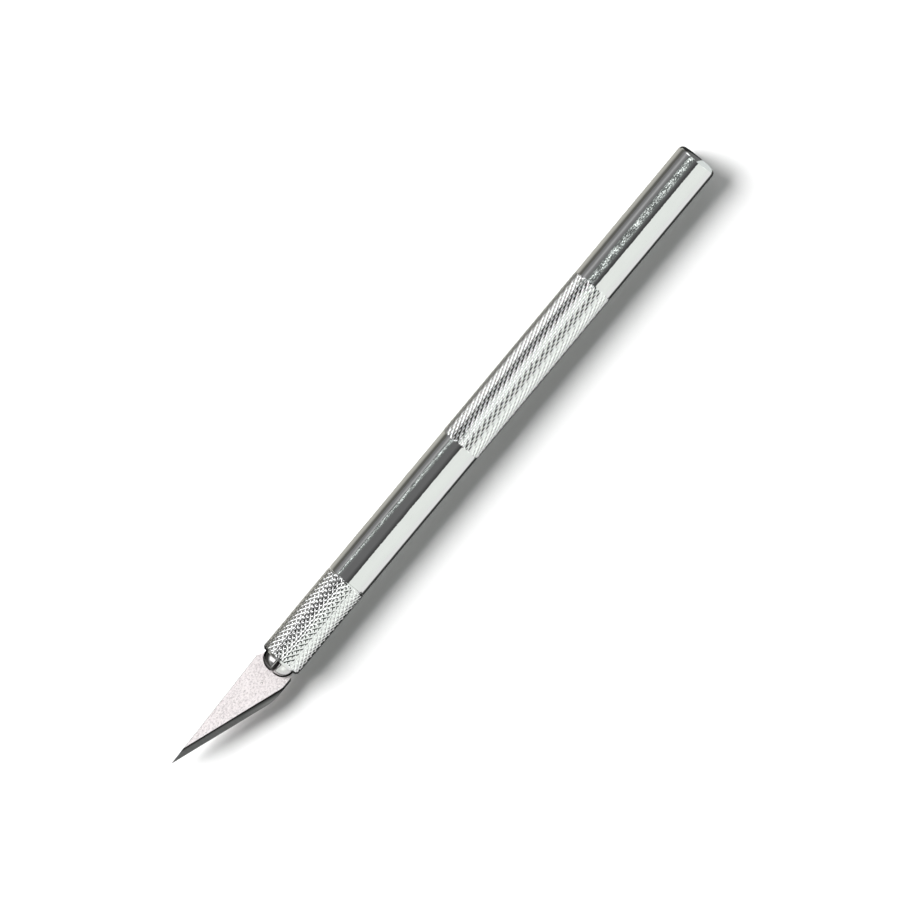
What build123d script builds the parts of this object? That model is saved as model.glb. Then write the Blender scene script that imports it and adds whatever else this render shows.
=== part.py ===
"""Hobby craft knife: a slim round metal handle with a knurled sleeve that closes a four-jaw collet on a blade.

The knife lies on its side. +X runs along the handle towards the blade's tip, +Y is the side of the cutting
edge and +Z is up. The origin is on the table, under the middle of the knife's length. All sizes are in mm.
Stations along the knife are measured from the tail's flat face.
"""

import os

from build123d import *

# ---------------------------------------------------------------- driving dimensions
barrel_diameter = 8.0
rear_plain_length = 30.0
grip_length = 37.7
front_plain_length = 32.0
grip_diameter = 8.15  # over the crests of the grip's knurl

sleeve_length = 18.9
sleeve_diameter = 8.1  # over the crests of the sleeve's knurl

blade_reach = 26.9  # from the sleeve's front face to the tip
blade_total_length = 39.8
blade_thickness = 0.5

collet_reach = 2.4  # from the sleeve's front face to the collet's nose
nose_diameter = 6.4
slot_depth = 15.75  # from the nose back to the root of the jaws
thread_diameter = 4.0

# ---------------------------------------------------------------- stations along the knife
grip_start = rear_plain_length
grip_end = grip_start + grip_length
barrel_end = grip_end + front_plain_length
sleeve_end = barrel_end + sleeve_length
nose_end = sleeve_end + collet_reach
tip_station = sleeve_end + blade_reach
jaw_root = nose_end - slot_depth
overall_length = tip_station

tail_x = -overall_length / 2
axis_height = grip_diameter / 2

knife_axis = Axis((tail_x, 0, axis_height), (1, 0, 0))
# Half sections are drawn here: local x is the station, local y the distance from the knife's axis.
section_plane = Plane(origin=(tail_x, 0, axis_height), x_dir=(1, 0, 0), z_dir=(0, -1, 0))
# The blade's outline is drawn here: local x is the station, local y runs towards the cutting edge.
blade_plane = Plane(origin=(tail_x, 0, axis_height), x_dir=(1, 0, 0), z_dir=(0, 0, 1))


def cross_plane(station):
    """A plane square to the knife's axis: local x is the row's +Y and local y is +Z."""
    return Plane(origin=(tail_x + station, 0, axis_height), x_dir=(0, 1, 0), z_dir=(1, 0, 0))


# ---------------------------------------------------------------- barrel
tail_round = 1.0
band_chamfer = (grip_diameter - barrel_diameter) / 2
pilot_diameter = 5.9
pilot_length = 2.0
pilot_chamfer = 0.2
tapped_hole_depth = 13.0
front_chamfer = 0.12

with BuildPart() as barrel:
    with BuildSketch(section_plane):
        with BuildLine():
            Polyline(
                (0, 0),
                (0, barrel_diameter / 2),
                (grip_start, barrel_diameter / 2),
                (grip_start + band_chamfer, grip_diameter / 2),
                (grip_end - band_chamfer, grip_diameter / 2),
                (grip_end, barrel_diameter / 2),
                (barrel_end, barrel_diameter / 2),
                (barrel_end, pilot_diameter / 2),
                (barrel_end + pilot_length, pilot_diameter / 2),
                (barrel_end + pilot_length, thread_diameter / 2),
                (barrel_end - tapped_hole_depth, thread_diameter / 2),
                (barrel_end - tapped_hole_depth - thread_diameter / 4, 0),
                close=True,
            )
        make_face()
    revolve(axis=knife_axis)
    fillet(barrel.edges().group_by(Axis.X)[0], tail_round)
    shoulder_rims = barrel.edges().filter_by(GeomType.CIRCLE).filter_by_position(
        Axis.X, tail_x + barrel_end - 0.01, tail_x + barrel_end + 0.01
    )
    chamfer(shoulder_rims.sort_by(SortBy.RADIUS)[-1], front_chamfer)
    pilot_rims = barrel.edges().group_by(Axis.X)[-1]
    chamfer(pilot_rims.sort_by(SortBy.RADIUS)[-1], pilot_chamfer)

# ---------------------------------------------------------------- sleeve
pilot_clearance = 0.06
counterbore_depth = pilot_length + 0.2
drive_land_length = 3.0
bore_diameter = 5.3
flats_gap = 4.5  # across the two flats that turn the collet
cone_length = 5.3
mouth_diameter = 6.64
seam_gap = 0.02
sleeve_rear_chamfer = 0.15
sleeve_front_chamfer = 0.4

sleeve_start = barrel_end + seam_gap
land_start = barrel_end + counterbore_depth
land_end = land_start + drive_land_length
cone_start = sleeve_end - cone_length

with BuildPart() as sleeve:
    with BuildSketch(section_plane):
        with BuildLine():
            Polyline(
                (sleeve_start, pilot_diameter / 2 + pilot_clearance),
                (sleeve_start, sleeve_diameter / 2),
                (sleeve_end, sleeve_diameter / 2),
                (sleeve_end, mouth_diameter / 2),
                (cone_start, bore_diameter / 2),
                (land_end, bore_diameter / 2),
                (land_end, 0),
                (land_start, 0),
                (land_start, pilot_diameter / 2 + pilot_clearance),
                close=True,
            )
        make_face()
    revolve(axis=knife_axis)
    with BuildSketch(cross_plane(land_start)):
        Circle(bore_diameter / 2)
        Rectangle(bore_diameter, flats_gap, mode=Mode.INTERSECT)
    extrude(amount=drive_land_length, mode=Mode.SUBTRACT)
    rear_rims = sleeve.edges().group_by(Axis.X)[0]
    chamfer(rear_rims.sort_by(SortBy.RADIUS)[-1], sleeve_rear_chamfer)
    front_rims = sleeve.edges().group_by(Axis.X)[-1]
    chamfer(front_rims.sort_by(SortBy.RADIUS)[-1], sleeve_front_chamfer)

# ---------------------------------------------------------------- collet stem
thread_clearance = 0.05
drive_clearance = 0.05
stem_tail_gap = 1.5  # left at the bottom of the tapped hole when the collet is drawn right in
root_gap = 0.03
shank_chamfer = 0.4

shank_start = barrel_end - tapped_hole_depth + stem_tail_gap
shank_radius = thread_diameter / 2 - thread_clearance
drive_start = land_start - 0.1
drive_end = jaw_root - root_gap
drive_radius = bore_diameter / 2 - drive_clearance

with BuildPart() as collet_stem:
    with BuildSketch(section_plane):
        with BuildLine():
            Polyline(
                (shank_start, 0),
                (shank_start, shank_radius),
                (drive_start, shank_radius),
                (drive_start, drive_radius),
                (drive_end, drive_radius),
                (drive_end, 0),
                close=True,
            )
        make_face()
    revolve(axis=knife_axis)
    with BuildSketch(cross_plane(shank_start)):
        Rectangle(2 * drive_radius, flats_gap - 2 * drive_clearance)
    extrude(amount=drive_end - shank_start, mode=Mode.INTERSECT)
    chamfer(collet_stem.edges().group_by(Axis.X)[0], shank_chamfer)

# ---------------------------------------------------------------- collet jaws
blade_slot = blade_thickness + 0.06
cross_slot = 0.62
centre_bore_radius = 0.5
spring_radius = 2.5
cone_clearance = 0.04
nose_radius = nose_diameter / 2
nose_round = 2.4

cone_slope = (mouth_diameter - bore_diameter) / 2 / cone_length
# Where the jaw's cone, held just inside the sleeve's, leaves the spring section and meets the nose.
jaw_cone_start = cone_start + (spring_radius + cone_clearance - bore_diameter / 2) / cone_slope
jaw_cone_end = cone_start + (nose_radius + cone_clearance - bore_diameter / 2) / cone_slope

QUADRANTS = {
    "collet_jaw_upper_edge_side": (1, 1),
    "collet_jaw_upper_spine_side": (-1, 1),
    "collet_jaw_lower_spine_side": (-1, -1),
    "collet_jaw_lower_edge_side": (1, -1),
}


def make_jaw(label, y_side, z_side):
    """One of the collet's four jaws, between the slot that holds the blade and the slot that crosses it."""
    with BuildPart() as jaw:
        with BuildSketch(section_plane):
            with BuildLine():
                Polyline(
                    (nose_end - nose_round, nose_radius),
                    (jaw_cone_end, nose_radius),
                    (jaw_cone_start, spring_radius),
                    (jaw_root, spring_radius),
                    (jaw_root, centre_bore_radius),
                    (nose_end, centre_bore_radius),
                    (nose_end, nose_radius - nose_round),
                )
                RadiusArc(
                    (nose_end, nose_radius - nose_round), (nose_end - nose_round, nose_radius), -nose_round
                )
            make_face()
        revolve(axis=knife_axis)
        corner_y = y_side * (cross_slot / 2 + nose_radius / 2)
        corner_z = z_side * (blade_slot / 2 + nose_radius / 2)
        with BuildSketch(cross_plane(jaw_root)):
            with Locations((corner_y, corner_z)):
                Rectangle(nose_radius, nose_radius)
        extrude(amount=slot_depth, mode=Mode.INTERSECT)
    jaw.part.label = label
    return jaw.part


# ---------------------------------------------------------------- blade
tang_half_width = 2.3
tang_corner_round = 0.7
shoulder_round = 0.3
body_half_width = 3.85
spine_shoulder_offset = 3.9
tip_offset = -3.2
neck_station = sleeve_end - 0.9
spine_shoulder_station = sleeve_end + 1.85
edge_shoulder_station = sleeve_end + 1.45
heel_station = sleeve_end + 6.25
heel_round = 10.0
bevel_width = 1.27
edge_land = 0.02
lock_slot_length = 6.0
lock_slot_width = 1.3
lock_slot_centre = 5.2  # from the tang's end

blade_start = tip_station - blade_total_length
edge_run = tip_station - heel_station
edge_rise = tip_offset - body_half_width

with BuildPart() as blade:
    with BuildSketch(blade_plane) as outline:
        with BuildLine():
            Polyline(
                (blade_start, -tang_half_width),
                (neck_station, -tang_half_width),
                (spine_shoulder_station, -spine_shoulder_offset),
                (tip_station, tip_offset),
                (heel_station, body_half_width),
                (edge_shoulder_station, body_half_width),
                (neck_station, tang_half_width),
                (blade_start, tang_half_width),
                close=True,
            )
        make_face()
        fillet(outline.vertices().group_by(Axis.X)[0], tang_corner_round)
        shoulder_vertices = outline.vertices().filter_by_position(
            Axis.X, neck_station - 0.01, spine_shoulder_station + 0.01
        )
        fillet(shoulder_vertices, shoulder_round)
        heel_vertices = outline.vertices().filter_by_position(Axis.X, heel_station - 0.01, heel_station + 0.01)
        fillet(heel_vertices, heel_round)
        with Locations((blade_start + lock_slot_centre, 0)):
            SlotOverall(lock_slot_length, lock_slot_width, mode=Mode.SUBTRACT)
    extrude(amount=blade_thickness / 2, both=True)
    # The two ground bevels: a wedge-nosed bar that runs along the cutting edge and holds the whole blade.
    bevel_plane = Plane(
        origin=blade_plane.from_local_coords((heel_station, body_half_width, 0)),
        x_dir=Vector(edge_rise, -edge_run, 0),
        z_dir=Vector(edge_run, edge_rise, 0),
    )
    half = blade_thickness / 2
    with BuildSketch(bevel_plane.offset(-blade_total_length)):
        with BuildLine():
            Polyline(
                (0, edge_land / 2),
                (bevel_width, half),
                (blade_total_length, half),
                (blade_total_length, -half),
                (bevel_width, -half),
                (0, -edge_land / 2),
                close=True,
            )
        make_face()
    extrude(amount=2 * blade_total_length, mode=Mode.INTERSECT)

# ---------------------------------------------------------------- write the pieces
barrel.part.label = "barrel"
sleeve.part.label = "sleeve"
collet_stem.part.label = "collet_stem"
blade.part.label = "blade"
pieces = [barrel.part, sleeve.part, collet_stem.part, blade.part]
pieces += [make_jaw(label, y_side, z_side) for label, (y_side, z_side) in QUADRANTS.items()]

os.makedirs("parts", exist_ok=True)
for piece in pieces:
    export_step(piece, f"parts/{piece.label}.step")
    print(piece.label, "volume", round(piece.volume, 2))
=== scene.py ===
"""Hobby craft knife in a light studio.

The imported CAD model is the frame. The barrel and the sleeve are remade here with their real knurls, and the
collet's jaws with the rounded edges of their slots. The collet's stem and the blade keep their CAD shapes and
get finished materials. Stations are millimetres from the tail's flat face. Radii, the measures of the
materials and the corners of the stage's cards are millimetres too; everything else is in metres.
"""

import math

import bmesh
import bpy
from mathutils import Matrix, Vector


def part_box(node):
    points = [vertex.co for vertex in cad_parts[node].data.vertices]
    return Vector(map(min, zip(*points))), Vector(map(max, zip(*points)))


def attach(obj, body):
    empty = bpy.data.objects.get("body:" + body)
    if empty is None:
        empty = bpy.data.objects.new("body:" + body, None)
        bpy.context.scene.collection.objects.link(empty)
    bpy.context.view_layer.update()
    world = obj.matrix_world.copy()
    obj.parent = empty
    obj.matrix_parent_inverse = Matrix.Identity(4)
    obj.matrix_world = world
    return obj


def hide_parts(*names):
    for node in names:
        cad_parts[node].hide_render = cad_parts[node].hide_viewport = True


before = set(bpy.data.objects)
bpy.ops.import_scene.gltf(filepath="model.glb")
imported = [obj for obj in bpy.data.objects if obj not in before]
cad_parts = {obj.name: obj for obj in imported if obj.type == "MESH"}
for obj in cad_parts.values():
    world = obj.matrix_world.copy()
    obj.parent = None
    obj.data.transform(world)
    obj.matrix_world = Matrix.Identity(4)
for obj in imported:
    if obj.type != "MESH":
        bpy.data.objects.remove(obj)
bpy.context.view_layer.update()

MM = 0.001

# ---------------------------------------------------------------- places and sizes from the frame
barrel_low, barrel_high = (Vector(corner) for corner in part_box("barrel"))
sleeve_low, sleeve_high = (Vector(corner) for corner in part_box("sleeve"))
jaw_low, jaw_high = (Vector(corner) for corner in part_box("collet_jaw_upper_edge_side"))
TAIL_X = barrel_low.x
AXIS_Z = (barrel_low.z + barrel_high.z) / 2

GRIP_CREST = (barrel_high.z - barrel_low.z) / 2 / MM
SLEEVE_CREST = (sleeve_high.z - sleeve_low.z) / 2 / MM
SLEEVE_START = (sleeve_low.x - TAIL_X) / MM
SLEEVE_END = (sleeve_high.x - TAIL_X) / MM
PILOT_END = (barrel_high.x - TAIL_X) / MM
JAW_ROOT = (jaw_low.x - TAIL_X) / MM
NOSE_END = (jaw_high.x - TAIL_X) / MM

# ---------------------------------------------------------------- driving dimensions of the metalwork
PLAIN_RADIUS = 4.0
TAIL_ROUND = 1.0
GRIP_START = 30.0
GRIP_END = 67.7
PILOT_LENGTH = 2.0
PILOT_RADIUS = 2.95
TAPPED_RADIUS = 2.0
TAPPED_DEPTH = 13.0
BARREL_END = PILOT_END - PILOT_LENGTH

PILOT_CLEARANCE = 0.06
COUNTERBORE_DEPTH = 2.2
DRIVE_LAND_LENGTH = 3.0
BORE_RADIUS = 2.65
FLATS_HALF_GAP = 2.25
CONE_LENGTH = 5.3
MOUTH_RADIUS = 3.32

NOSE_RADIUS = 3.2
NOSE_ROUND = 2.4
SPRING_RADIUS = 2.5
CENTRE_BORE_RADIUS = 0.5
CONE_CLEARANCE = 0.04
BLADE_SLOT = 0.56
CROSS_SLOT = 0.62
SLOT_CHAMFER = 0.22

# Two places on the blade, each a station and a distance from the knife's axis towards the cutting edge.
BLADE_HEEL = (124.85, 3.85)  # where the lines of its lower side and of its cutting edge cross
PIT_PLACE = (123.6, 0.07)  # a corrosion pit in its flat
BEVEL_WIDTH = 1.27

STEPS_PER_TOOTH = 8  # mesh steps across one knurl pitch
RING_GAP = 0.05  # from a round or a knurl to the next ring, which keeps its shading out of the plain stretch
WELD = 1e-6
CREASE = math.radians(28)  # edges that turn more than this are crisp

# A knurl is two sets of grooves on crossed helices. flats are the shares of the pitch left between the
# grooves of each set, and second_depth is the second set's depth as a share of the first's. rounding turns
# the V of a groove into a wave. sway is how much the two sets' depths take turns round the knife, how many
# times, and how fast the turns drift along it, in radians a millimetre. At each end the teeth grow to their
# height over fade, in millimetres.
GRIP_KNURL = {
    "starts": 30, "repeats": 23, "depth": 0.17, "flats": (0.04, 0.25), "second_depth": 0.85,
    "rounding": 0.0, "sway": (0.15, 4, 0.0), "fade": 0.25,
}
SLEEVE_KNURL = {
    "starts": 24, "repeats": 14.5, "depth": 0.12, "flats": (0.5, 0.5), "second_depth": 1.0,
    "rounding": 0.4, "sway": (0.45, 6, 0.08), "fade": 0.3,
}
SWAY_ANGLE = 2.0  # radians round the knife, where the first set is deepest at a knurl's start
TOOTH_WEAR = 0.07  # the most that a tooth falls short, as a share of its height


# ---------------------------------------------------------------- turned meshes
class Lathe:
    """Rings of vertices about the knife's axis, joined one after another into a single skin."""

    def __init__(self, count):
        self.count = count
        self.points = []
        self.crest_nearness = []  # 1 on a crest or a plain surface, 0 at the bottom of a groove
        self.faces = []
        self.last = None

    def ring(self, station, radius, half_step=False):
        """A new ring. radius is a number, or a function that gives (radius, worn) at an angle."""
        first = len(self.points)
        for i in range(self.count):
            angle = 2 * math.pi * (i + 0.5 * half_step) / self.count
            r, crest_nearness = radius(angle) if callable(radius) else (radius, 1.0)
            x = TAIL_X + station * MM
            self.points.append((x, r * MM * math.cos(angle), AXIS_Z + r * MM * math.sin(angle)))
            self.crest_nearness.append(crest_nearness)
        return [first + i for i in range(self.count)]

    def to(self, station, radius):
        """Adds a ring and joins it to the one before with a band of quads."""
        new = self.ring(station, radius)
        if self.last:
            for i in range(self.count):
                j = (i + 1) % self.count
                self.faces.append((self.last[i], self.last[j], new[j], new[i]))
        self.last = new

    def cap(self, station):
        """Closes the last ring, or opens the first, with a fan to a point on the axis."""
        centre = len(self.points)
        self.points.append((TAIL_X + station * MM, 0.0, AXIS_Z))
        self.crest_nearness.append(1.0)
        for i in range(self.count):
            self.faces.append((self.last[i], self.last[(i + 1) % self.count], centre))

    def knurl(
        self, start, end, crest, bases, starts, repeats, depth, flats, second_depth, rounding, sway, fade
    ):
        """Diamond knurling between two stations: its mesh lines run along the two sets of helices.

        bases are the radii that the teeth fade into at the two ends.
        """
        rows = round(2 * STEPS_PER_TOOTH * repeats)
        amount, lobes, drift = sway

        def fall(phase, flat):
            """How deep a groove is at a phase of its pitch: 1 along its middle, 0 on the flat beside it."""
            from_groove = abs((phase + 0.5) % 1.0 - 0.5)
            rise = min(1.0, 2 * from_groove / (1 - flat))
            return 1 - rise - rounding * rise * (1 - rise) * (2 * rise - 1)

        def chance(a, b):
            """A fixed number from 0 to 1 for each tooth, so that no two crests are quite alike."""
            return math.sin(a * 12.9898 + b * 78.233) * 43758.5453 % 1.0

        rings = [self.last]
        for row in range(1, rows + 1):
            station = start + (end - start) * row / rows
            along = repeats * row / rows
            inside = min((station - start) / fade, (end - station) / fade, 1.0)
            inside = inside * inside * (3 - 2 * inside)
            base = bases[0] if 2 * row < rows else bases[1]

            def surface(angle):
                around = starts * angle / (2 * math.pi)
                right = around + along
                left = around - along
                turn = 0.5 + 0.5 * math.cos(lobes * (angle - SWAY_ANGLE) + drift * (station - start))
                right_depth = 1 - amount * (1 - turn)
                left_depth = second_depth * (1 - amount * turn)
                tooth = 1 - max(right_depth * fall(right, flats[0]), left_depth * fall(left, flats[1]))
                tooth *= 1 - TOOTH_WEAR * chance(math.floor(right) % starts, math.floor(left) % starts)
                radius = crest - depth * (1 - tooth)
                return base + (radius - base) * inside, 1 - (1 - tooth) * inside

            rings.append(self.ring(station, surface, half_step=row % 2 == 1))
        for row in range(rows):
            near, far = rings[row], rings[row + 1]
            for i in range(self.count):
                j = (i + 1) % self.count
                if row % 2 == 0:
                    below, above, ahead = near[j], far[i], far[j]
                else:
                    below, above, ahead = near[i], far[i], far[j]
                if row == 0:
                    self.faces.append((near[i], near[j], far[i]))
                if row == rows - 1:
                    self.faces.append((below, ahead, above))
                else:
                    tip = rings[row + 2][j if row % 2 == 0 else i]
                    self.faces.append((below, ahead, tip, above))
        self.last = rings[-1]

    def piece(self, name, material):
        return finished_piece(name, self.points, self.faces, material, self.crest_nearness)


def finished_piece(name, points, faces, material, crest_nearness=None):
    """An object from points and faces, welded into closed skins, its facets crisp and its rounds smooth."""
    mesh = bpy.data.meshes.new(name)
    mesh.from_pydata(points, [], faces)
    if crest_nearness:
        attribute = mesh.attributes.new("crest_nearness", "FLOAT", "POINT")
        attribute.data.foreach_set("value", crest_nearness)
    shape = bmesh.new()
    shape.from_mesh(mesh)
    bmesh.ops.remove_doubles(shape, verts=shape.verts, dist=WELD)
    bmesh.ops.recalc_face_normals(shape, faces=shape.faces)
    shape.to_mesh(mesh)
    shape.free()
    mesh.shade_smooth()
    mesh.set_sharp_from_angle(angle=CREASE)
    mesh.materials.append(material)
    piece = bpy.data.objects.new(name, mesh)
    bpy.context.scene.collection.objects.link(piece)
    return piece


def quarter_round(lathe, station, radius, size, steps=7):
    """A convex round from a face at the station out to the radius."""
    for i in range(1, steps + 1):
        turn = math.pi / 2 * i / steps
        lathe.to(station + size * (1 - math.cos(turn)), radius - size * (1 - math.sin(turn)))


def barrel_piece(material):
    lathe = Lathe(GRIP_KNURL["starts"] * STEPS_PER_TOOTH)
    lathe.last = lathe.ring(0.0, PLAIN_RADIUS - TAIL_ROUND)
    lathe.cap(0.0)
    quarter_round(lathe, 0.0, PLAIN_RADIUS, TAIL_ROUND)
    plain_from = TAIL_ROUND + RING_GAP
    plain_length = GRIP_START - RING_GAP - plain_from
    for share in (0.0, 0.25, 0.5, 0.75, 1.0):
        lathe.to(plain_from + plain_length * share, PLAIN_RADIUS)
    lathe.to(GRIP_START, PLAIN_RADIUS)
    lathe.knurl(GRIP_START, GRIP_END, GRIP_CREST, (PLAIN_RADIUS, PLAIN_RADIUS), **GRIP_KNURL)
    chamfer = 0.12
    plain_from = GRIP_END + RING_GAP
    plain_length = BARREL_END - chamfer - plain_from
    for share in (0.0, 0.33, 0.66, 1.0):
        lathe.to(plain_from + plain_length * share, PLAIN_RADIUS)
    lathe.to(BARREL_END, PLAIN_RADIUS - chamfer)
    lathe.to(BARREL_END, PILOT_RADIUS)
    pilot_chamfer = 0.2
    lathe.to(PILOT_END - pilot_chamfer, PILOT_RADIUS)
    lathe.to(PILOT_END, PILOT_RADIUS - pilot_chamfer)
    lathe.to(PILOT_END, TAPPED_RADIUS)
    lathe.to(BARREL_END - TAPPED_DEPTH, TAPPED_RADIUS)
    lathe.cap(BARREL_END - TAPPED_DEPTH - TAPPED_RADIUS / 2)
    return lathe.piece("turned_barrel", material)


def sleeve_piece(material):
    lathe = Lathe(SLEEVE_KNURL["starts"] * STEPS_PER_TOOTH)
    rear_chamfer = 0.15
    front_chamfer = 0.4
    counterbore = PILOT_RADIUS + PILOT_CLEARANCE
    land_start = BARREL_END + COUNTERBORE_DEPTH
    land_end = land_start + DRIVE_LAND_LENGTH

    def flats(angle):
        lean = abs(math.sin(angle))
        return min(BORE_RADIUS, FLATS_HALF_GAP / max(lean, 1e-6)), 1.0

    rear_base = SLEEVE_CREST - 0.02
    front_base = SLEEVE_CREST - 0.06
    knurl_start = SLEEVE_START + rear_chamfer
    knurl_end = SLEEVE_END - front_chamfer
    lathe.to(SLEEVE_START, counterbore)
    lathe.to(SLEEVE_START, SLEEVE_CREST - rear_chamfer)
    lathe.to(knurl_start, rear_base)
    lathe.knurl(knurl_start, knurl_end, SLEEVE_CREST, (rear_base, front_base), **SLEEVE_KNURL)
    lathe.to(SLEEVE_END, SLEEVE_CREST - front_chamfer)
    lathe.to(SLEEVE_END, MOUTH_RADIUS)
    lathe.to(SLEEVE_END - CONE_LENGTH, BORE_RADIUS)
    lathe.to(land_end, BORE_RADIUS)
    lathe.to(land_end, flats)
    lathe.to(land_start, flats)
    lathe.to(land_start, counterbore)
    lathe.to(SLEEVE_START, counterbore)
    return lathe.piece("knurled_sleeve", material)


def jaw_piece(name, y_side, z_side, material):
    """A quarter of the split collet, lofted along the axis, with the outer edges of its slots rounded off."""
    slope = (MOUTH_RADIUS - BORE_RADIUS) / CONE_LENGTH
    cone_start = SLEEVE_END - CONE_LENGTH
    profile = [
        (JAW_ROOT, SPRING_RADIUS),
        (cone_start + (SPRING_RADIUS + CONE_CLEARANCE - BORE_RADIUS) / slope, SPRING_RADIUS),
        (cone_start + (NOSE_RADIUS + CONE_CLEARANCE - BORE_RADIUS) / slope, NOSE_RADIUS),
    ]
    dome_steps = 16
    for i in range(dome_steps + 1):
        turn = math.pi / 2 * i / dome_steps
        station = NOSE_END - NOSE_ROUND * (1 - math.sin(turn))
        profile.append((station, NOSE_RADIUS - NOSE_ROUND * (1 - math.cos(turn))))

    points = []
    faces = []
    for station, radius in profile:
        for across, up in jaw_section(radius):
            x = TAIL_X + station * MM
            points.append((x, y_side * across * MM, AXIS_Z + z_side * up * MM))
    count = len(points) // len(profile)
    for i in range(len(profile) - 1):
        for k in range(count):
            near, far = i * count, (i + 1) * count
            following = (k + 1) % count
            faces.append((near + k, near + following, far + following, far + k))
    faces.append(tuple(range(count)))
    faces.append(tuple(range(len(points) - count, len(points))))
    return finished_piece(name, points, faces, material)


def jaw_section(radius):
    """The outline of a jaw cut square to the axis, in its own quarter, as (across, up)."""

    def arc(r, start, end, steps):
        turns = [start + (end - start) * i / steps for i in range(steps + 1)]
        return [(r * math.cos(turn), r * math.sin(turn)) for turn in turns]

    def rounded(start, corner, end):
        blend = []
        for t in (0.3, 0.5, 0.7):
            weights = ((1 - t) ** 2, 2 * t * (1 - t), t**2)
            weighted = list(zip(weights, (start, corner, end)))
            blend.append(tuple(sum(weight * point[k] for weight, point in weighted) for k in (0, 1)))
        return [start, *blend, end]

    across, up = CROSS_SLOT / 2, BLADE_SLOT / 2
    bore = CENTRE_BORE_RADIUS
    round_off = min(SLOT_CHAMFER, 0.4 * (radius - bore))
    outline = arc(bore, math.acos(across / bore), math.asin(up / bore), 4)
    outer = arc(radius, math.asin((up + round_off) / radius), math.acos((across + round_off) / radius), 26)
    corner = (math.sqrt(radius**2 - up**2), up)
    outline += rounded((corner[0] - round_off, up), corner, outer[0])
    outline += outer[1:-1]
    corner = (across, math.sqrt(radius**2 - across**2))
    outline += rounded(outer[-1], corner, (across, corner[1] - round_off))
    return outline


# ---------------------------------------------------------------- materials
class Graph:
    """A material's node tree, with short calls for the nodes used here."""

    def __init__(self, name):
        self.material = bpy.data.materials.new(name)
        self.material.use_nodes = True
        self.tree = self.material.node_tree
        self.shader = next(n for n in self.tree.nodes if n.type == "BSDF_PRINCIPLED")
        coordinates = self.tree.nodes.new("ShaderNodeTexCoord")
        self.position = self.scaled(coordinates.outputs["Object"], (1 / MM,) * 3)
        self.facing = coordinates.outputs["Normal"]

    def node(self, kind, inputs=None, **settings):
        node = self.tree.nodes.new(kind)
        for key, value in settings.items():
            setattr(node, key, value)
        for key, value in (inputs or {}).items():
            self.set(node.inputs[key], value)
        return node

    def set(self, socket, value):
        if isinstance(value, bpy.types.NodeSocket):
            self.tree.links.new(value, socket)
        else:
            socket.default_value = value

    def scaled(self, vector, scale):
        node = self.node("ShaderNodeVectorMath", operation="MULTIPLY")
        self.set(node.inputs[0], vector)
        node.inputs[1].default_value = scale
        return node.outputs["Vector"]

    def noise(self, stretch, detail=3.0, roughness=0.55):
        """Noise in millimetres. stretch multiplies the position first: more means finer along that axis."""
        inputs = {"Vector": self.scaled(self.position, stretch), "Scale": 1.0, "Detail": detail}
        inputs["Roughness"] = roughness
        return self.node("ShaderNodeTexNoise", inputs).outputs["Fac"]

    def span(self, value, low, high, to_low=0.0, to_high=1.0):
        inputs = {"Value": value, "From Min": low, "From Max": high, "To Min": to_low, "To Max": to_high}
        return self.node("ShaderNodeMapRange", inputs, clamp=True).outputs["Result"]

    def math(self, operation, a, b=0.0):
        node = self.node("ShaderNodeMath", operation=operation)
        self.set(node.inputs[0], a)
        self.set(node.inputs[1], b)
        return node.outputs["Value"]

    def mix(self, factor, a, b):
        node = self.node("ShaderNodeMix", data_type="RGBA")
        self.set(node.inputs["Factor"], factor)
        self.set(node.inputs[6], a)
        self.set(node.inputs[7], b)
        return node.outputs[2]

    def bump(self, height, distance, normal=None):
        """A bump whose height of 1 stands distance millimetres proud."""
        inputs = {"Height": height, "Distance": distance * MM, "Strength": 1.0}
        if normal:
            inputs["Normal"] = normal
        return self.node("ShaderNodeBump", inputs).outputs["Normal"]

    def finish(self, **sockets):
        for key, value in sockets.items():
            self.set(self.shader.inputs[key.replace("_", " ")], value)
        return self.material


def grey(value, warmth=0.0, green=0.0):
    return (value * (1 + warmth), value * (1 + green), value * (1 - warmth), 1.0)


def polished_aluminium():
    """Bright turned bar: faint rings round it, a slightly uneven polish, and a darker colour at the bottoms
    of its grooves.
    """
    graph = Graph("polished_aluminium")
    crest_nearness = graph.node("ShaderNodeAttribute", attribute_name="crest_nearness").outputs["Fac"]
    rings = graph.noise((28.0, 0.4, 0.4), detail=2.0)
    uneven = graph.noise((0.9, 1.3, 1.3), detail=3.0)
    smear = graph.noise((0.25, 0.6, 0.6), detail=4.0)
    tone = graph.mix(smear, grey(0.84, 0.0, 0.012), grey(0.90, 0.0, 0.012))
    groove_bottom = 0.12  # as a share of a tooth's height
    # darker grey at the bottoms of the grooves, set by how near a crest the surface is
    colour = graph.mix(graph.span(crest_nearness, 0.0, groove_bottom), grey(0.4), tone)
    roughness = graph.span(rings, 0.35, 0.7, 0.03, 0.07)
    normal = graph.bump(uneven, 0.010)
    normal = graph.bump(rings, 0.0005, normal)
    return graph.finish(Base_Color=colour, Metallic=1.0, Roughness=roughness, Normal=normal)


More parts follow.
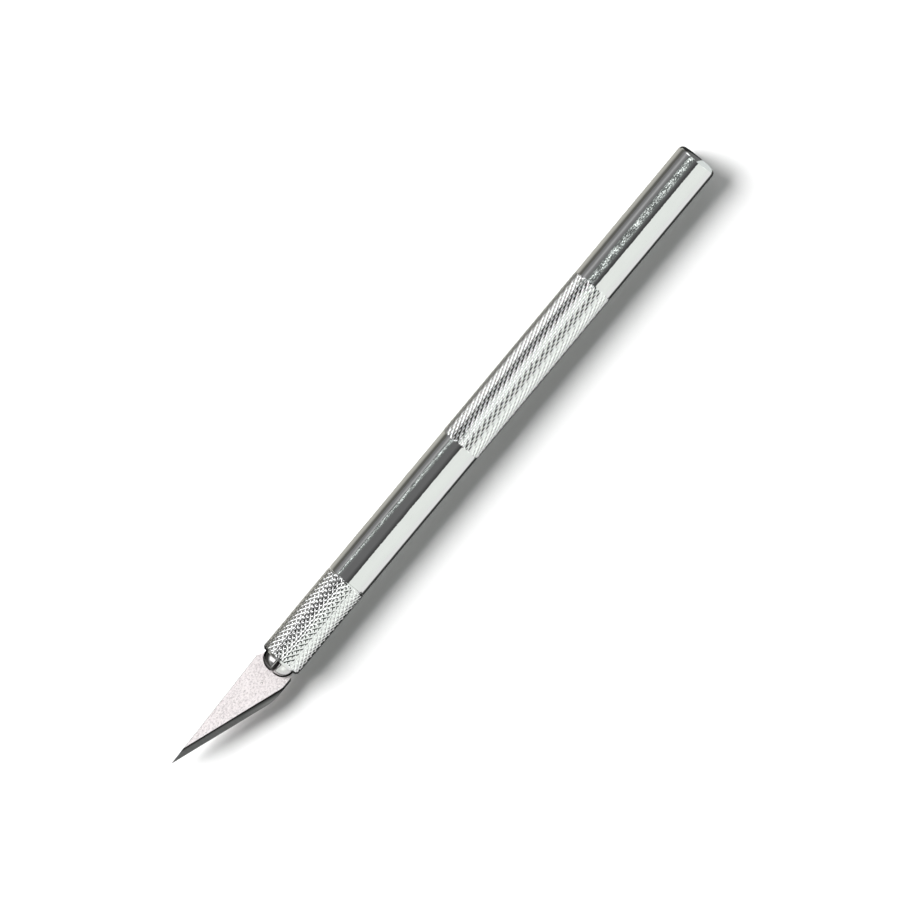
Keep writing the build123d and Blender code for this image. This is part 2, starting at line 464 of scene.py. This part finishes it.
def collet_steel():
    """Turned spring steel, bright where it faces up or down. Its rims, where it faces sideways, carry a
    painted shade, most on the spine's side.
    """
    graph = Graph("collet_steel")
    rings = graph.noise((0.5, 9.0, 9.0), detail=2.0)
    spots = graph.noise((2.0, 2.0, 2.0), detail=4.0)
    _, _, upward = graph.node("ShaderNodeSeparateXYZ", {"Vector": graph.facing}).outputs
    _, across, _ = graph.node("ShaderNodeSeparateXYZ", {"Vector": graph.position}).outputs
    # painted shade: on the spine's side the rims turn dark from a steeper facing
    spine_shade = graph.span(across, -0.3, 0.3, 0.26, 0.0)
    level = graph.math("SUBTRACT", graph.math("ABSOLUTE", upward), spine_shade)
    unshaded = graph.span(level, 0.40, 0.54)
    bright = graph.mix(spots, grey(0.66, 0.01), grey(0.82, 0.01))
    # painted shade: sideways-facing rims get dark grey in place of the bright steel
    colour = graph.mix(unshaded, grey(0.2), bright)
    roughness = graph.span(rings, 0.3, 0.7, 0.10, 0.18)
    normal = graph.bump(spots, 0.01)
    return graph.finish(
        Base_Color=colour, Metallic=1.0, Roughness=roughness, Specular_Tint=grey(0.0), Normal=normal
    )


class Side:
    """A straight side of the blade, from one of its corners to another, for masks beside that side."""

    def __init__(self, graph, start, end):
        self.graph = graph
        along = (end - start).xy.normalized()
        inward = Vector((-along.y, along.x))
        if inward.dot(-start.xy) < 0:
            inward.negate()
        self.depth = self.along(start, inward)
        self.run = self.along(start, along)

    def along(self, start, direction):
        """How far a point lies from the start in a direction, in millimetres."""
        product = self.graph.node("ShaderNodeVectorMath", operation="DOT_PRODUCT")
        self.graph.set(product.inputs[0], self.graph.position)
        product.inputs[1].default_value = (direction.x, direction.y, 0.0)
        return self.graph.math("SUBTRACT", product.outputs["Value"], start.xy.dot(direction) / MM)


def blade_steel():
    """Satin flats with a fine pale mottle and a pit, and ground bevels. The bevels' dark colour, their
    lighter stretch towards the heel and the dark lines along the grind and the sheared rims are painted shade
    and reflection.
    """
    graph = Graph("blade_steel")
    points = [v.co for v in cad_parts["blade"].data.vertices]
    tip = max(points, key=lambda p: p.x)
    widest = max(p.y for p in points) - 0.01 * MM
    shoulder = min((p for p in points if p.y > widest), key=lambda p: p.x)
    heel = Vector((TAIL_X + BLADE_HEEL[0] * MM, BLADE_HEEL[1] * MM, 0.0))
    spine = min(points, key=lambda p: p.y)

    # where the flat ends, and how far into the painted dark line beside it a point of the bevel is
    edge = Side(graph, heel, tip)
    on_flat = graph.span(edge.depth, BEVEL_WIDTH - 0.03, BEVEL_WIDTH + 0.03)
    line_width = graph.span(edge.run, 0.0, 9.0, 0.42, 0.22)
    from_line = graph.math("SUBTRACT", BEVEL_WIDTH, edge.depth)
    in_bevel = graph.math("DIVIDE", from_line, line_width)
    off_line = graph.span(in_bevel, 0.6, 2.2)

    # the flat, with a painted shade along its rim at the spine and a painted dark line along its lower side
    fine = graph.noise((2.6, 3.4, 3.4), detail=5.0, roughness=0.75)
    streaks = graph.noise((0.9, 5.0, 5.0), detail=3.0, roughness=0.6)
    blotch = graph.noise((0.35, 0.5, 0.5), detail=2.0)
    pale = graph.mix(graph.span(fine, 0.45, 0.68), grey(0.955, 0.03, -0.03), grey(0.42, 0.05, -0.07))
    pale = graph.mix(graph.span(streaks, 0.45, 0.8, 0.0, 0.55), pale, grey(0.68, 0.04, -0.05))
    pale = graph.mix(graph.span(blotch, 0.3, 0.75, 0.0, 0.25), pale, grey(0.94, 0.02, -0.04))
    back = Side(graph, spine, tip)
    # painted shade: a grey line along the spine's rim
    pale = graph.mix(graph.span(back.depth, 0.04, 0.14), grey(0.42), pale)
    lower = Side(graph, shoulder, heel)
    # painted shade: a near-black line along the lower side
    pale = graph.mix(graph.span(lower.depth, 0.30, 0.42), grey(0.03), pale)

    # the pit, twice as long across the knife as along it
    pit = graph.node("ShaderNodeVectorMath", operation="DISTANCE")
    graph.set(pit.inputs[0], graph.scaled(graph.position, (1.0, 0.5, 0.0)))
    pit.inputs[1].default_value = (PIT_PLACE[0] + TAIL_X / MM, PIT_PLACE[1] * 0.5, 0.0)
    pale = graph.mix(graph.span(pit.outputs["Value"], 0.05, 0.10), grey(0.05, 0.1), pale)

    # the bevels, their steel given a dark colour as a painted reflection, with a painted dark line along the
    # grind and painted lighter towards the heel
    grind = graph.noise((3.0, 1.2, 1.0), detail=3.0)
    # painted reflection: the bevel's steel is dark for the dark studio it reflects
    dark = graph.mix(graph.span(grind, 0.3, 0.7), grey(0.21), grey(0.25))
    # painted light: the bevel lightens towards the heel
    dark = graph.mix(graph.span(edge.run, 1.0, 6.0, 0.7, 0.0), dark, grey(0.4))
    # painted shade: a near-black line along the grind
    dark = graph.mix(off_line, grey(0.025), dark)
    colour = graph.mix(on_flat, dark, pale)
    metallic = graph.span(on_flat, 0.0, 1.0, 1.0, 0.35)
    roughness = graph.span(on_flat, 0.0, 1.0, 0.3, 0.48)
    normal = graph.bump(graph.math("ADD", fine, graph.math("MULTIPLY", grind, 0.2)), 0.012)
    return graph.finish(Base_Color=colour, Metallic=metallic, Roughness=roughness, Normal=normal)


# ---------------------------------------------------------------- the knife
aluminium = polished_aluminium()
barrel = barrel_piece(aluminium)
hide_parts("barrel")
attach(barrel, "handle")

sleeve = sleeve_piece(aluminium)
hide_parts("sleeve")
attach(sleeve, "clamp_sleeve")

collet_finish = collet_steel()
JAWS = {
    "upper_edge_side": (1, 1),
    "upper_spine_side": (-1, 1),
    "lower_spine_side": (-1, -1),
    "lower_edge_side": (1, -1),
}
for place, (y_side, z_side) in JAWS.items():
    jaw = jaw_piece("turned_jaw_" + place, y_side, z_side, collet_finish)
    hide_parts("collet_jaw_" + place)
    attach(jaw, "jaw_" + place)

for name, finish in (("collet_stem", collet_finish), ("blade", blade_steel())):
    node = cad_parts[name]
    node.data.materials.clear()
    node.data.materials.append(finish)

# ---------------------------------------------------------------- floor and the cards that the metal reflects
FAR = 3000.0
TAIL = TAIL_X / MM


def stage_card(name, corners, material):
    """A four-cornered card of the stage."""
    mesh = bpy.data.meshes.new(name)
    mesh.from_pydata([tuple(c * MM for c in corner) for corner in corners], [], [(0, 1, 2, 3)])
    mesh.materials.append(material)
    card = bpy.data.objects.new(name, mesh)
    bpy.context.scene.collection.objects.link(card)
    return card


def level_corners(height, x_range, y_range):
    (x0, x1), (y0, y1) = x_range, y_range
    return [(x0, y0, height), (x1, y0, height), (x1, y1, height), (x0, y1, height)]


def upright_corners(x, y_range, z_range):
    (y0, y1), (z0, z1) = y_range, z_range
    return [(x, y0, z0), (x, y1, z0), (x, y1, z1), (x, y0, z1)]


def floor_material():
    graph = Graph("floor_white")
    return graph.finish(Base_Color=grey(0.92), Roughness=1.0, Specular_IOR_Level=0.0)


stage_card("floor", level_corners(0.0, (-FAR, FAR), (-FAR, FAR)), floor_material())


def glowing(name, make_light, tint):
    """A material that gives off its own light. make_light(graph) gives its strength."""
    graph = Graph(name)
    output = next(n for n in graph.tree.nodes if n.type == "OUTPUT_MATERIAL")
    emission = graph.node("ShaderNodeEmission", {"Color": tint, "Strength": make_light(graph)})
    graph.tree.links.new(emission.outputs["Emission"], output.inputs["Surface"])
    return graph.material


def reflection_card(name, corners, material):
    """A card that only the metal's reflections see."""
    card = stage_card(name, corners, material)
    card.visible_camera = False
    card.visible_diffuse = False
    card.visible_shadow = False
    card.visible_transmission = False


def fading(near_light, far_light, near, far):
    """Light that changes from near_light to far_light as y goes from near to far, in millimetres."""

    def light(graph):
        _, y, _ = graph.node("ShaderNodeSeparateXYZ", {"Vector": graph.position}).outputs
        return graph.span(y, near, far, near_light, far_light)

    return light


# The flags lie on the table, or just above it. They tone it down beside the knife for the polished sides, the
# tail's rim and the nose, and the knurls look further out for their dark edge. On the cutting edge's side
# their dark near stretch is a painted shadow: the knife's shadow on the table, as the metal reflects it.
spine_side = glowing("spine_side", fading(0.47, 0.12, -11.0, -24.0), grey(1.0, 0.055, 0.03))
edge_side = glowing("edge_side", fading(0.04, 0.85, 9.5, 12.5), grey(1.0))
grip_side = glowing("grip_side", fading(0.04, 0.85, 13.0, 18.0), grey(1.0))
sleeve_side = glowing("sleeve_side", fading(0.04, 0.85, 18.0, 24.0), grey(1.0))
dark = glowing("dark_card", lambda graph: 0.03, grey(1.0))
dim = glowing("grey_card", lambda graph: 0.16, grey(1.0))
pale = glowing("pale_card", lambda graph: 0.76, grey(1.0, -0.02, 0.03))

ALL_ALONG = (-FAR, FAR)
BY_GRIP = (TAIL + GRIP_START, TAIL + GRIP_END)
BY_SLEEVE = (TAIL + SLEEVE_START, TAIL + SLEEVE_END)
BY_NOSE = (TAIL + SLEEVE_END - 1.0, TAIL + NOSE_END + 8.0)
PAST_TAIL = (-FAR, TAIL - 0.3)
LOW = 0.1
HIGHER = 0.2
FLAGS = {
    "spine_flag": (LOW, ALL_ALONG, (-FAR, -4.6), spine_side),
    "edge_flag": (LOW, ALL_ALONG, (4.2, FAR), edge_side),
    "grip_flag": (HIGHER, BY_GRIP, (4.2, 18.0), grip_side),
    "sleeve_flag": (HIGHER, BY_SLEEVE, (4.2, 24.0), sleeve_side),
    "nose_flag": (HIGHER, BY_NOSE, (-14.0, -4.2), dark),
    "tail_flag": (HIGHER, PAST_TAIL, (-9.0, 1.0), dark),
}
for name, (height, x_range, y_range, material) in FLAGS.items():
    reflection_card(name, level_corners(height, x_range, y_range), material)

# Upright cards behind the tail, each with its reach across and its reach upwards.
BEHIND_TAIL = TAIL - 3.0
TAIL_CARDS = {
    "tail_low_card": ((-9.0, 1.0), (0.0, 7.0), dark),
    "tail_high_card": ((-9.0, 1.0), (7.0, 40.0), dim),
    "tail_pale_card": ((1.0, 14.0), (0.0, 40.0), pale),
}
for name, (y_range, z_range, material) in TAIL_CARDS.items():
    reflection_card(name, upright_corners(BEHIND_TAIL, y_range, z_range), material)

# Two rows of small lamps above the spine's side, broken up so that their reflections sparkle. Each has its
# two stations, the angles from straight up at which the handle shows its middle there, and its half width in
# the same degrees.
LAMP_HEIGHT = 8.0  # above the knife's axis
LAMP_ROWS = {
    "rear_lamps": ((-1.0, 30.0), (31.0, 27.0), 20.0),
    "front_lamps": ((66.5, 100.0), (50.0, 58.0), 10.0),
}


def lamp_reach(degrees):
    """How far aside of the knife's axis a lamp hangs that the handle shows at an angle from straight up."""
    angle = math.radians(degrees)
    rise = LAMP_HEIGHT - PLAIN_RADIUS * math.cos(angle / 2)
    return PLAIN_RADIUS * math.sin(angle / 2) + rise * math.tan(angle)


def lamp_row(stations, angles, half_width):
    """The light and the corners of a row of small uneven lamps, brightest along its middle."""
    x0, x1 = [TAIL + station for station in stations]
    y0, y1 = [-lamp_reach(angle) for angle in angles]
    slope = (y1 - y0) / (x1 - x0)
    average = sum(angles) / 2
    half_reach = (lamp_reach(average + half_width) - lamp_reach(average - half_width)) / 2

    def light(graph):
        x, y, _ = graph.node("ShaderNodeSeparateXYZ", {"Vector": graph.position}).outputs
        middle = graph.math("ADD", graph.math("MULTIPLY", x, slope), y0 - x0 * slope)
        aside = graph.math("ABSOLUTE", graph.math("SUBTRACT", y, middle))
        beside = graph.span(aside, 0.0, half_reach, 1.0, 0.0)
        blobs = graph.noise((4.0, 1.2, 1.0), detail=2.0, roughness=0.7)
        clusters = graph.noise((0.45, 0.35, 1.0), detail=2.0)
        shown = graph.math("ADD", blobs, graph.span(clusters, 0.3, 0.7, -0.09, 0.09))
        sparkle = graph.span(shown, 0.49, 0.64, 0.0, 1.9)
        return graph.math("ADD", 0.14, graph.math("MULTIPLY", sparkle, beside))

    corners = []
    for x, y, sides in ((x0, y0, (-1, 1)), (x1, y1, (1, -1))):
        for side in sides:
            corners.append((x, y + side * half_reach, AXIS_Z / MM + LAMP_HEIGHT))
    return light, corners


for name, row in LAMP_ROWS.items():
    make_light, corners = lamp_row(*row)
    reflection_card(name, corners, glowing(name, make_light, (0.94, 1.0, 0.98, 1.0)))

# ---------------------------------------------------------------- light
# Brightness of the studio by angle from straight up, in degrees, positive towards the cutting edge's side:
# square across the knife, where the dark ceiling is, and towards its two ends.
ACROSS = [
    (-90, 0.18),
    (-80, 0.21),
    (-72, 0.33),
    (-67, 0.43),
    (-62, 0.32),
    (-56, 0.21),
    (-46, 0.18),
    (-36, 0.148),
    (-8, 0.145),
    (3, 0.095),
    (10, 0.06),
    (15, 0.055),
    (16.5, 0.87),
    (60, 0.87),
    (90, 0.85),
]
TO_THE_ENDS = [
    (-90, 0.15),
    (-79, 0.25),
    (-68, 1.6),
    (-25, 1.6),
    (-20, 0.02),
    (22, 0.02),
    (26, 0.95),
    (42, 1.0),
    (50, 1.3),
    (64, 1.15),
    (78, 0.85),
    (90, 0.85),
]
ENDS_START = 0.12  # the share of a direction that runs along the knife, where the second list begins
ENDS_FULL = 0.22
BLADE_END_START = 0.55  # and, towards the blade only, where the first list is back
BLADE_END_FULL = 0.70
PALE_SIDE = 16  # degrees; beyond it both lists have the pale side's tint, and up to it the dark side's
PALE_TINT = (0.0, 0.03)  # warmth and green
DARK_TINT = (-0.005, -0.01)
FILL = 0.405  # how much of the studio's light falls on matt surfaces


def studio_world():
    world = bpy.data.worlds.new("studio")
    bpy.context.scene.world = world
    world.use_nodes = True
    tree = world.node_tree
    tree.nodes.clear()

    def node(kind, inputs=None, **settings):
        made = tree.nodes.new(kind)
        for key, value in settings.items():
            setattr(made, key, value)
        for key, value in (inputs or {}).items():
            if isinstance(value, bpy.types.NodeSocket):
                tree.links.new(value, made.inputs[key])
            else:
                made.inputs[key].default_value = value
        return made

    def ramp(place, stops):
        made = node("ShaderNodeValToRGB", {"Fac": place})
        elements = made.color_ramp.elements
        while len(elements) < len(stops):
            elements.new(0.5)
        for element, (degrees, light) in zip(elements, stops):
            element.position = (degrees + 90) / 180
            tint = PALE_TINT if degrees > PALE_SIDE else DARK_TINT
            element.color = grey(light, *tint)
        return made.outputs["Color"]

    x, y, z = node("ShaderNodeSeparateXYZ", {0: node("ShaderNodeTexCoord").outputs["Generated"]}).outputs
    angle = node("ShaderNodeMath", {0: y, 1: z}, operation="ARCTAN2").outputs[0]
    limits = {"From Min": -math.pi / 2, "From Max": math.pi / 2}
    place = node("ShaderNodeMapRange", {"Value": angle, **limits}, clamp=True).outputs["Result"]
    lean = node("ShaderNodeMath", {0: x}, operation="ABSOLUTE").outputs[0]
    limits = {"From Min": ENDS_START, "From Max": ENDS_FULL}
    endwise = node("ShaderNodeMapRange", {"Value": lean, **limits}, clamp=True).outputs["Result"]
    limits = {"From Min": BLADE_END_START, "From Max": BLADE_END_FULL, "To Min": 1.0, "To Max": 0.0}
    before = node("ShaderNodeMapRange", {"Value": x, **limits}, clamp=True).outputs["Result"]
    endwise = node("ShaderNodeMath", {0: endwise, 1: before}, operation="MULTIPLY").outputs[0]
    light = node("ShaderNodeMix", {"Factor": endwise}, data_type="RGBA")
    tree.links.new(ramp(place, ACROSS), light.inputs[6])
    tree.links.new(ramp(place, TO_THE_ENDS), light.inputs[7])
    ray = node("ShaderNodeLightPath").outputs
    strength = node("ShaderNodeMapRange", {"Value": ray["Diffuse Depth"], "To Min": 1.0, "To Max": FILL})
    strength = strength.outputs["Result"]
    around = node("ShaderNodeBackground", {"Color": light.outputs[2], "Strength": strength})
    backdrop = node("ShaderNodeBackground", {"Color": grey(1.0), "Strength": 1.0})
    inputs = {0: ray["Is Camera Ray"], 1: around.outputs[0], 2: backdrop.outputs[0]}
    node("ShaderNodeOutputWorld", {"Surface": node("ShaderNodeMixShader", inputs).outputs[0]})


KEY_DIRECTION = Vector((0.37, -1.04, 1.0)).normalized()
KEY_DISTANCE = 1.3
KEY_SIZE = 0.86
KEY_POWER = 28.5


def key_light():
    """A soft box over the spine's side, a little towards the blade, that no reflection shows."""
    light = bpy.data.lights.new("key", "AREA")
    light.shape = "DISK"
    light.size = KEY_SIZE
    light.energy = KEY_POWER
    key = bpy.data.objects.new("key", light)
    key.location = KEY_DIRECTION * KEY_DISTANCE
    key.rotation_euler = KEY_DIRECTION.to_track_quat("Z", "Y").to_euler()
    key.visible_glossy = False
    key.visible_camera = False
    bpy.context.scene.collection.objects.link(key)


studio_world()
key_light()

# ---------------------------------------------------------------- camera
VIEW_WIDTH = 0.1630  # across the picture at the height of the knife's axis
CAMERA_DISTANCE = 1.2
KNIFE_ANGLE = math.radians(50.2)  # of the handle above the picture's horizontal
VIEW_CENTRE = Vector((-0.0033, -0.00078, AXIS_Z))


def camera():
    right = Vector((-math.cos(KNIFE_ANGLE), math.sin(KNIFE_ANGLE), 0.0))
    up = Vector((-math.sin(KNIFE_ANGLE), -math.cos(KNIFE_ANGLE), 0.0))
    lens = bpy.data.cameras.new("camera")
    lens.sensor_width = 36.0
    lens.lens = lens.sensor_width * CAMERA_DISTANCE / VIEW_WIDTH
    lens.clip_start = 0.05
    view = bpy.data.objects.new("camera", lens)
    turn = Matrix((right, up, right.cross(up))).transposed()
    view.matrix_world = Matrix.Translation(VIEW_CENTRE + Vector((0, 0, CAMERA_DISTANCE))) @ turn.to_4x4()
    bpy.context.scene.collection.objects.link(view)
    bpy.context.scene.camera = view


camera()
bpy.context.scene.view_settings.view_transform = "Standard"
bpy.context.scene.view_settings.look = "None"
